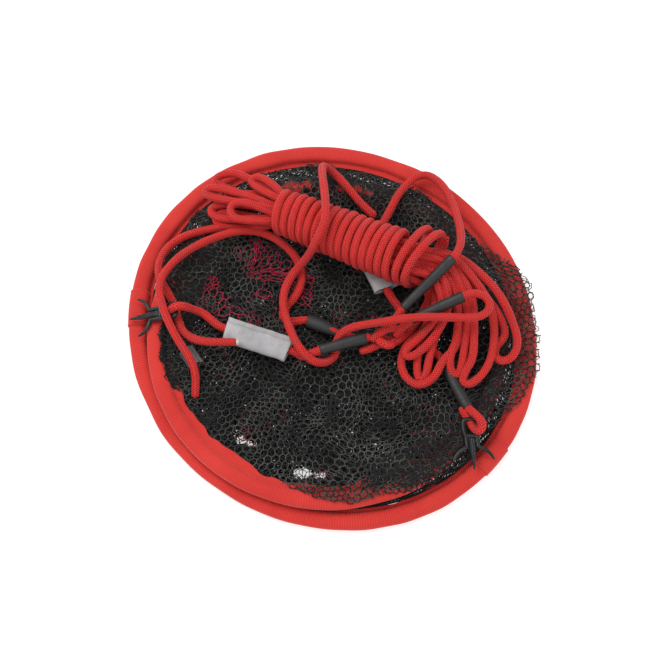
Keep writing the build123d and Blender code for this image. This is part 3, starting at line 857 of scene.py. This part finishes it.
def main_line():
    """The whole hauling line: knot, core passes with their bights, windings and tail."""
    route = list(LINE_LEAD)
    for index in range(len(LEFT_BIGHTS)):
        route += core_pass(2 * index, True)
        route += LEFT_BIGHTS[index][::-1] if index % 2 else LEFT_BIGHTS[index]
        route += core_pass(2 * index + 1, False)
        if index < len(RIGHT_BIGHTS):
            route += RIGHT_BIGHTS[index]
    return route + [hank_point(*place) for place in OUT_OF_CORE] + hank_turns() + LINE_TAIL


def part_of(line, start, end):
    """The stretch of a line between the points nearest to start and end."""
    first = int(np.argmin(np.linalg.norm(line - np.array(start), axis=1)))
    last = int(np.argmin(np.linalg.norm(line - np.array(end), axis=1)))
    return line[first:last + 1] if first < last else line[last:first + 1][::-1]


def make_splice(name, material, line, near, far, flatten, start, end):
    """Heat-shrink tube: tight where it starts, wider and slightly flattened at its open end."""
    stretch = even_line(part_of(line, start, end), 1.0)
    radius = near + (far - near) * smooth(0.0, 0.8, np.linspace(0, 1, len(stretch)))
    radius *= 1 + 0.012 * waves(stretch, 9, 31)
    radius[0] *= 0.93
    spokes = tube_spokes(stretch, 24, flatten, level=True)
    outside = stretch[:, None] + radius[:, None, None] * spokes
    inside = stretch[:, None] + (radius - SOFT_WALL)[:, None, None] * spokes
    grid = np.concatenate([outside, inside[::-1]])
    lengths = ring_lengths(np.concatenate([stretch, stretch[::-1] + 0.01]))
    mesh = grid_mesh(name, grid, lengths, wrap_rows=True)
    return add_piece(f"{name}_tube", mesh, material, "small_hoop", "heat_shrink", name)


def make_tag(name, material, middle, turn_deg, length, half_width):
    """A folded cloth sleeve around the cord, with a welded fin along one long edge."""
    way, side = heading(turn_deg)
    places = np.linspace(-length / 2, length / 2, 44)
    angles = np.linspace(0, 2 * math.pi, 48, endpoint=False)
    across = half_width * np.cos(angles)
    fin = smooth(0.50, 0.62, across / half_width)
    bulge = TAG_HALF_THICK * (1 - np.abs(across / half_width) ** 3.2) ** 0.5
    height = np.sign(np.sin(angles)) * (bulge * (1 - fin) + 0.9 * fin * np.abs(np.sin(angles)) ** 0.3)
    grid = []
    for wall, stations in ((0.0, places), (SOFT_WALL, places[::-1])):
        wide = across * (1 - wall / half_width)
        high = height * (1 - wall / TAG_HALF_THICK)
        for place in stations:
            ends = abs(place) / (length / 2)
            slant = 0.1 * wide * np.sign(place) * smooth(0.6, 1.0, ends)
            flare = 1 + 0.05 * smooth(0.8, 1.0, ends)
            wrinkle = 0.25 * waves(np.column_stack([np.full(len(wide), place), wide]), 11, 77)
            points = np.array(middle) + (place + slant)[:, None] * way + flare * wide[:, None] * side
            grid.append(points + (high + wrinkle)[:, None] * UP)
    grid = np.array(grid)[:, ::-1]
    mesh = grid_mesh(name, grid, ring_lengths(grid[:, 0]), wrap_rows=True)
    return add_piece(f"{name}_cloth", mesh, material, "small_hoop", "tag_fabric", name)


# ---- clips

def clip_place(place, points):
    """Points in a clip's own frame, x towards its tip, moved to where the clip lies."""
    centre, out_deg, lean_deg = place
    way, side = heading(out_deg)
    lean = math.radians(lean_deg)
    x, y, z = np.asarray(points, float).T[..., None]
    along = x * math.cos(lean) + z * math.sin(lean) + CLIP_REST_X
    rise = z * math.cos(lean) - x * math.sin(lean)
    return np.array(centre) + along * way + y * side + rise * UP


def clip_rod(name, place, route, radius, material, node, flatten=1.0):
    """A rounded rod of a clip along a smooth route in its own frame."""
    line = even_line(nurbs_line(clip_place(place, route)), 0.4)
    share = np.linspace(0, 1, len(line))
    radii = np.interp(share, np.linspace(0, 1, len(radius)), radius) * round_ends(len(line), 3.0)
    mesh = tube_mesh(name, line, radii, 20, flatten, level=True)
    add_piece(name, mesh, material, "small_hoop", "clip_plastic", node)


def clip_spike(name, place, material, body, node):
    """The flexing middle finger: ribbed along its top, tapering to a point."""
    share = np.linspace(0, 1, 60)
    along = CLIP_HINGE - 1.6 + (SPIKE_LENGTH + 1.6) * share
    flat_ends = (1 - np.minimum(share, (1 - share) * 2.5) / 0.05).clip(0)
    rounding = np.sqrt(np.clip(1 - flat_ends ** 2, 0.001, 1))
    half_width = np.interp(share, [0, 0.35, 0.62, 1], [2.3, 2.2, 1.75, 0.5]) * rounding
    half_height = np.interp(share, [0, 0.6, 1], [1.35, 1.25, 0.6]) * rounding
    turns = np.linspace(0, 2 * math.pi, 64, endpoint=False)
    across, height = squircle(turns, 0.7).T
    ribs = 0.22 * np.cos(3 * math.pi * across) * (np.sin(turns) > 0.2)
    fade = band((0.03, 0.1), (0.6, 0.85), share)
    rise = CLIP_MIDDLE_Z + half_height[:, None] * height + fade[:, None] * ribs
    grid = np.stack([along[:, None] + 0 * rise, half_width[:, None] * across, rise], -1)
    grid = clip_place(place, grid.reshape(-1, 3)).reshape(grid.shape)
    mesh = grid_mesh(name, grid, ring_lengths(grid[:, 0]))
    add_piece(name, mesh, material, body, "clip_plastic", node)


def make_clips(material):
    """Each clip: a wire-like frame with an eye, two curved outer fingers, a cross bar and the spike."""
    z = CLIP_MIDDLE_Z
    wide, eye_wide = CLIP_HALF_WIDTH, CLIP_EYE_HALF_WIDTH
    eye_end = CLIP_EYE_START - CLIP_EYE_LENGTH
    side_route = [
        (CLIP_BACK + 1.5, wide, z), (CLIP_HINGE, wide, z), (CLIP_EYE_START, 4.0, z),
        (CLIP_EYE_START - 3.5, eye_wide, z), (eye_end, eye_wide, z), (eye_end, 0.0, z),
    ]
    frame_route = side_route[:-1] + [(x, -y, height) for x, y, height in side_route[::-1]]
    for side, place in CLIPS.items():
        node = f"{side}_clip_body"
        clip_rod(f"{side}_clip_frame", place, frame_route, [1.55, 1.65, 1.6, 1.65, 1.55], material, node)
        bar = [(CLIP_EYE_START, y, z) for y in (-wide, 0.0, wide)]
        clip_rod(f"{side}_clip_bar", place, bar, [1.8, 1.7, 1.8], material, node)
        for number, hand in enumerate((1, -1), 1):
            turns = np.radians(180 - hand * np.linspace(13, BOW_HALF_ANGLE_DEG, 6))
            middle = CLIP_BACK + BOW_RADIUS
            bow = BOW_RADIUS * circle(turns) + np.array([middle, 0, z])
            taper = [1.5, 1.5, 1.35, 1.1, 0.55]
            clip_rod(f"{side}_clip_outer_finger_{number}", place, bow, taper, material, node, 0.95)
        clip_spike(f"{side}_clip_spike", place, material, f"{side}_finger", f"{side}_clip_finger")


# ---- the trap

def make_camera():
    elevation = math.radians(CAMERA_ELEVATION_DEG)
    back = Vector((0, -math.cos(elevation), math.sin(elevation)))
    data = bpy.data.cameras.new("camera")
    data.lens = CAMERA_LENS
    data.sensor_width = 36.0
    data.clip_start = 0.01
    camera = link("camera", data)
    camera.location = (Vector(CAMERA_AIM) + CAMERA_DISTANCE * back) * MM
    camera.rotation_euler = (math.pi / 2 - elevation, 0, 0)
    bpy.context.scene.camera = camera


def make_lights():
    world = bpy.data.worlds.new("studio")
    world.use_nodes = True
    world.node_tree.nodes["Background"].inputs[0].default_value = (1, 1, 1, 1)
    world.node_tree.nodes["Background"].inputs[1].default_value = 0.58
    bpy.context.scene.world = world
    for name, place, size, power in (
        ("key", (-0.7, 0.5, 1.3), 1.0, 13.0),
        ("fill", (0.9, -0.9, 1.2), 1.4, 7.0),
    ):
        data = bpy.data.lights.new(name, "AREA")
        data.size = size
        data.energy = power
        light = link(name, data)
        light.location = place
        light.rotation_euler = (-Vector(place)).to_track_quat("-Z", "Y").to_euler()


def make_floor():
    corners = [(2000 * x, 2000 * y, STAGE_Z) for x, y in ((-1, -1), (1, -1), (1, 1), (-1, 1))]
    mesh = new_mesh("floor", corners, np.array([[0, 1, 2, 3]]))
    floor = link("floor", mesh)
    material, _, shader = new_material("pale_floor")
    shader.inputs["Base Color"].default_value = (0.62, 0.62, 0.62, 1)
    shader.inputs["Roughness"].default_value = 0.9
    shader.inputs["Emission Color"].default_value = (1, 1, 1, 1)
    shader.inputs["Emission Strength"].default_value = 0.6
    mesh.materials.append(material)


def make_hoops(fabric):
    make_sleeve("large", large_ring, LARGE_FLAP, 11, fabric)
    make_sleeve("small", small_ring, SMALL_FLAP, 21, fabric)
    for side, (middle, span) in PATCHES.items():
        make_patch(f"{side}_patch", middle, span, fabric)


def thin_spots(points):
    """Where the deeper layers part and the floor shows through the net."""
    keep = np.ones(len(points), bool)
    for x, y, size in THIN_SPOTS:
        keep &= np.hypot(points[:, 0] - x, (points[:, 1] - y) * 1.6) > size
    return keep


def red_spots(points):
    """Where the pouch's lower folds and its hem show red between the black strands."""
    return waves(points, 60, 71) + 0.5 * waves(points, 21, 73) > 0.6


def in_pouch(points):
    """Where the bait pouch's folds come through the black net."""
    place = (points - POUCH_MIDDLE) / POUCH_HALF
    return ((place ** 2).sum(1) < 1) & (waves(points, 34, 75) > -0.6)


def make_nets(shaded_black, black, red):
    """The net inside the small hoop, from the floor up; only the upper layers reach over the hoops."""
    # The lower layers take the darker copy of the black nylon: painted shade.
    # Piece, yarn, cell, strand radius, turn, level, lumps, warp, seed, cap, keep, wide, squash, start
    layers = (
        ("floor_layer", shaded_black, 4.4, 0.95, 8, 1.6, 0.4, 4, 101, 12.6, thin_spots),
        ("low_layer", shaded_black, 4.2, 0.85, 33, 3.2, 0.9, 4, 111, 12.6, thin_spots),
        ("fold_layer", shaded_black, 4.0, 0.8, 71, 4.8, 1.1, 5, 121, 12.6, thin_spots),
        ("red_layer", red, 5.4, 0.5, 15, 6.4, 1.2, 5, 141, 8.6, red_spots),
        ("crumpled_layer", shaded_black, 4.6, 0.6, 47, 7.0, 1.5, 6, 151, 9.8, thin_spots, 0.7, 0.8, -80),
        ("side_layer", shaded_black, 4.8, 0.72, 80, 7.8, 1.5, 5, 153, 10.2, thin_spots, 1.0, 1.0, -74),
        ("middle_layer", shaded_black, 5.4, 0.45, 20, 8.6, 1.6, 4, 155, 10.8, thin_spots, 2.0),
        ("slack_layer", black, 6.6, 0.31, 4, 9.4, 1.5, 2, 161, 11.4, None, 2.0, 0.74),
        ("pouch_layer", red, 6.6, 0.34, 52, 10.4, 1.5, 6, 131, 12.2, in_pouch),
        ("top_layer", black, 7.0, 0.36, 62, 10.6, 1.5, 2, 171, 12.4, None, 2.0, 0.85),
    )
    for name, material, *shape in layers:
        slot = "red_net" if material is red else "black_net"
        make_net(name, material, slot, *shape)


def make_wall(black):
    """The wall net between the hoops, gathered into the narrow gap while the trap is folded."""
    row, col = np.meshgrid(np.arange(WALL_ROWS), np.arange(2 * WALL_COLUMNS), indexing="ij")
    top = (row + col) % 2 == 0
    turns = col.ravel() * math.pi / WALL_COLUMNS
    share = ((row * 1.5 + np.where(top, 0.5, 0.0)) / (WALL_ROWS * 1.5)).reshape(-1, 1)
    low, out, _ = large_ring(turns)
    low = low - out * (SLEEVE_HALF_WIDTH + 4.0)
    way = np.arctan2(low[:, 1] - SMALL_CENTRE[1], low[:, 0] - SMALL_CENTRE[0])
    high, out_small, _ = small_ring(way)
    high = high + out_small * (SLEEVE_HALF_WIDTH - 5.0)
    pleat = 1.8 * np.sin(math.pi * share) * np.sin(38 * turns[:, None] + 9 * share)
    place = low * (1 - share) + high * share + pleat * out
    top_z = np.clip(high[:, 2] - SLEEVE_HALF_HEIGHT - 0.2, *WALL_HIGH)
    place[:, 2] = WALL_LOW + (top_z - WALL_LOW) * share[:, 0]
    strands = hexagon_strands(row * 2 * WALL_COLUMNS + col, top, closed=True)
    ends = place[strands]
    spokes = WALL_STRAND * circle(np.arange(3) * 2 * math.pi / 3)
    piece = link("wall_layer", prism_mesh("wall_layer", ends[:, :, None] + spokes))
    # black here is the darker copy of the black nylon: painted shade in the gap between the hoops.
    piece.data.materials.append(black)
    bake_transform(piece)
    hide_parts("wall_net")


def make_line(cord, core, rubber, cloths):
    """The bridle legs with their tubes and tags, the gathering knot and the hauling line."""
    legs = {"leg_1": LEG_1[::-1], "leg_2": LEG_2, "leg_3": LEG_3, "leg_4": LEG_4}
    lines = {leg: even_line(nurbs_line(route), CORD_STEP) for leg, route in legs.items()}
    on_leg = {leg: [] for leg in legs}
    for name, (leg, *shape) in SPLICES.items():
        on_leg[leg].append(make_splice(name, rubber, lines[leg], *shape))
    for name, (leg, *shape) in TAGS.items():
        # leg_3's tag takes the darker copy of the grey cloth: painted shade.
        on_leg[leg].append(make_tag(name, cloths[leg == "leg_3"], *shape))
    knot_line = even_line(nurbs_line(KNOT), 1.0)
    knot_mesh = tube_mesh("knot", knot_line, cord_radii(knot_line, CORD_RADIUS, 3))
    knot = add_piece("knot", knot_mesh, cord, "small_hoop", "braid", "gather_knot")
    for index, (leg, route) in enumerate(legs.items()):
        nodes = [f"{leg}_cord"]
        make_cord(leg, lines[leg], cord, nodes, 40 + index)
    tip = np.array(LINE_TAIL[-1]) + np.outer(np.linspace(-1.0, 1.3, 6), (1, 0, 0))
    tip_radii = np.array([2.2, 2.2, 2.15, 2.05, 1.6, 0.1])
    tip_mesh = tube_mesh("line_core_end", tip, tip_radii)
    core_end = add_piece("line_core_end", tip_mesh, core, "small_hoop", "braid")
    make_cord(
        "hauling_line", even_line(nurbs_line(main_line()), CORD_STEP), cord,
        ["line_lead", "line_tail", "hank_wraps", "hank_left_bights", "hank_right_bights"],
        50,
    )


def dress_cad_nodes(nodes, plastic, steel):
    """Materials for the CAD nodes that stay as they are."""
    for name, node in nodes.items():
        if "clip" in name and "splice" not in name:
            material = plastic
        elif "wire" in name or "ferrule" in name:
            material = steel
        else:
            continue
        if not node.material_slots:
            node.data.materials.append(material)
        for slot in node.material_slots:
            slot.material = material


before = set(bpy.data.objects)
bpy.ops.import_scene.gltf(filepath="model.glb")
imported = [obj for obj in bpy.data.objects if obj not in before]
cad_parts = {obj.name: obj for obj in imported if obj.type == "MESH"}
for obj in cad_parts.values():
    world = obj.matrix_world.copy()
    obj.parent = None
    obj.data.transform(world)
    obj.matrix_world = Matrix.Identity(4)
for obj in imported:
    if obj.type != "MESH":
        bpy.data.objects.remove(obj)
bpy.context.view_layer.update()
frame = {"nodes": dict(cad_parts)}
bpy.context.scene.view_settings.view_transform = "Standard"

fabric = ribbed_fabric("red_grosgrain", (0.77, 0.058, 0.043), (0.55, 0.022, 0.02), 1.75)
cord = braid("red_braid", (0.88, 0.042, 0.036), (0.32, 0.003, 0.007), 7, 1.85)
core = nylon_strand("white_core", (0.8, 0.78, 0.74), (0.62, 0.58, 0.54), 0.7)
# A darker copy of the black nylon for the lower layers and the wall net: painted shade.
shaded_black = nylon_strand("shaded_black_nylon", (0.008, 0.009, 0.008), (0.002, 0.002, 0.002), 0.8)
# The lighter copy of the black nylon for the upper layers; its pale patches are painted highlights.
black = nylon_strand("black_nylon", (0.12, 0.128, 0.116), (0.009, 0.01, 0.009), 0.45)
red = nylon_strand("magenta_nylon", (0.72, 0.012, 0.07), (0.3, 0.003, 0.025), 0.5)
plastic = moulded_plastic("black_acetal", (0.016, 0.017, 0.017), (0.006, 0.006, 0.006), 0.3)
rubber = moulded_plastic("heat_shrink_rubber", (0.03, 0.031, 0.031), (0.016, 0.016, 0.016), 0.52, 500.0)

cloth = tag_fabric("grey_coated_cloth", (0.51, 0.5, 0.51), (0.26, 0.255, 0.262))
# A darker copy of the grey cloth for leg 3's tag, which lies in shade: painted shade.
shaded_cloth = tag_fabric("shaded_grey_cloth", (0.1, 0.1, 0.105), (0.03, 0.03, 0.032))

make_camera()
make_line(cord, core, rubber, (cloth, shaded_cloth))
make_hoops(fabric)
make_nets(shaded_black, black, red)
make_wall(shaded_black)
make_clips(plastic)
dress_cad_nodes(frame["nodes"], plastic, spring_steel("spring_steel"))
make_lights()
make_floor()
